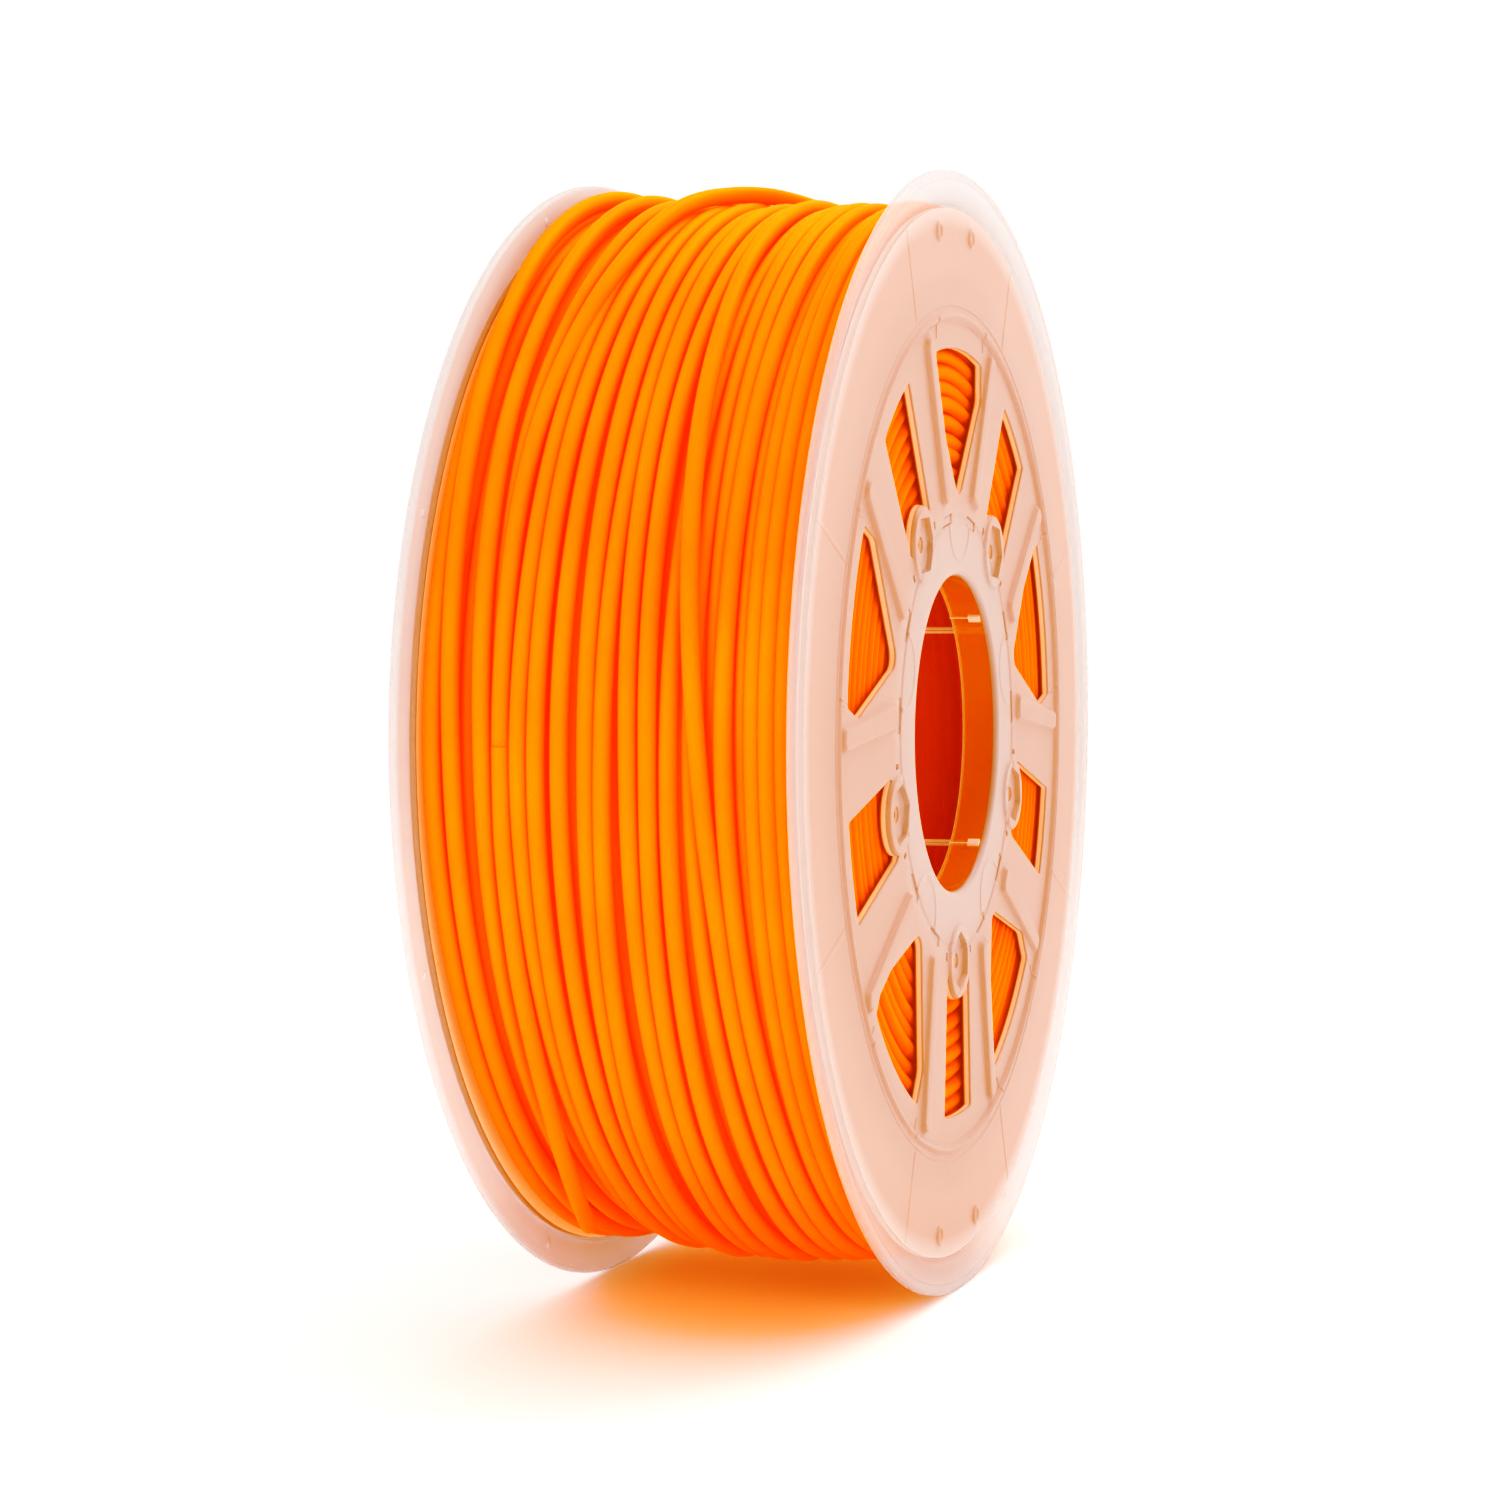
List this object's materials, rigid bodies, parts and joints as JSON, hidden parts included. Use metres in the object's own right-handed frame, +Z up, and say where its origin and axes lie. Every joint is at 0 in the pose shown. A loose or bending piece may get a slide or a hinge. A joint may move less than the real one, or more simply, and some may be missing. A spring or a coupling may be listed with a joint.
{
  "type": "filament spool",
  "caption": "Full spool of orange 3D printing filament: translucent slotted flanges on a hub drum with a through bore, wound with round plastic strand and a loose free end.",
  "frame": {"origin": "middle of the bore, half way across the spool's width; the spool stands on both rims at z = -0.1 m", "axes": "+Y along the bore towards the rear flange, +Z up, +X to the right when the front flange faces the viewer"},
  "size_m": [0.2, 0.0676, 0.2],
  "materials": {
    "natural_plastic": "translucent frosted natural moulding",
    "clear_drum_plastic": "clear moulding, slightly hazy",
    "orange_filament": "satin extruded strand"
  },
  "bodies": {
    "root": {"front_flange": "natural_plastic", "rear_flange": "natural_plastic", "hub_drum": "clear_drum_plastic", "filament_winding": "orange_filament", "filament_outer_layer": "orange_filament", "filament_free_end": "orange_filament"}
  },
  "joints": []
}
